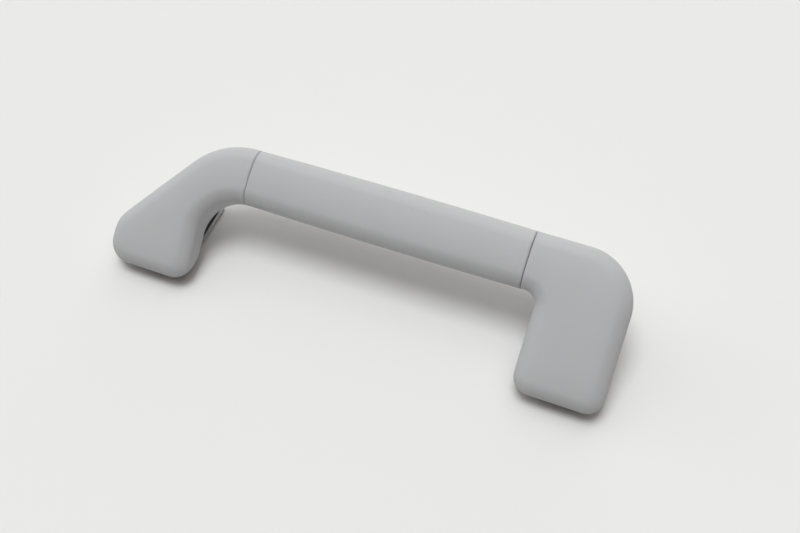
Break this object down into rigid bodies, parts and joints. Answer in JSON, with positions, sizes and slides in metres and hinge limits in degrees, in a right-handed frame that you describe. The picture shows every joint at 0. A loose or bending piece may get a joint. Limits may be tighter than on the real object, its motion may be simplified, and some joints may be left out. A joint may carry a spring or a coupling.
{
  "type": "roof grab handle",
  "caption": "Fold-down roof grab handle: a straight hand bar between two hollow end covers that hide sprung, damped hinges on roof brackets.",
  "frame": {"origin": "midway between the two roof screw holes, on the roof panel under the brackets", "axes": "+X along the bar, +Z away from the roof into the cabin, +Y from the hinge side towards the bar"},
  "size_m": [0.2256, 0.0591, 0.0436],
  "materials": {
    "grip_plastic": "fine matt grain",
    "core_plastic": "glass-filled, as moulded",
    "bracket_plastic": "glass-filled, as moulded",
    "trim_plastic": "fine matt grain",
    "bush_plastic": "natural acetal",
    "damper_plastic": "black",
    "rubber": "black",
    "steel": "zinc plated"
  },
  "bodies": {
    "roof_side": {"left_roof_bracket": "bracket_plastic", "right_roof_bracket": "bracket_plastic", "left_pivot_pin": "steel", "right_pivot_pin": "steel", "left_pin_clip": "steel", "right_pin_clip": "steel", "left_screw_cover": "trim_plastic", "right_screw_cover": "trim_plastic", "left_stop_buffer": "rubber", "right_stop_buffer": "rubber", "damper_housing": "damper_plastic", "damper_seal": "rubber", "return_spring": "steel"},
    "grip": {"grip_core": "core_plastic", "bar_front_shell": "grip_plastic", "bar_back_shell": "grip_plastic", "left_end_cover": "grip_plastic", "right_end_cover": "grip_plastic", "left_outer_bush": "bush_plastic", "left_inner_bush": "bush_plastic", "right_inner_bush": "bush_plastic", "right_outer_bush": "bush_plastic", "damper_rotor": "bush_plastic", "left_cover_screws": "steel", "right_cover_screws": "steel", "bar_shell_screws": "steel"}
  },
  "joints": [
    {"name": "grip_fold", "type": "hinge", "parent": "roof_side", "child": "grip", "pos_m": [0, -0.02825, 0.00835], "axis": [1, 0, 0], "range_deg": [0, 70], "stiffness_Nm_per_rad": 0.1, "springref_deg": -68.75, "deforming": ["return_spring"]}
  ]
}
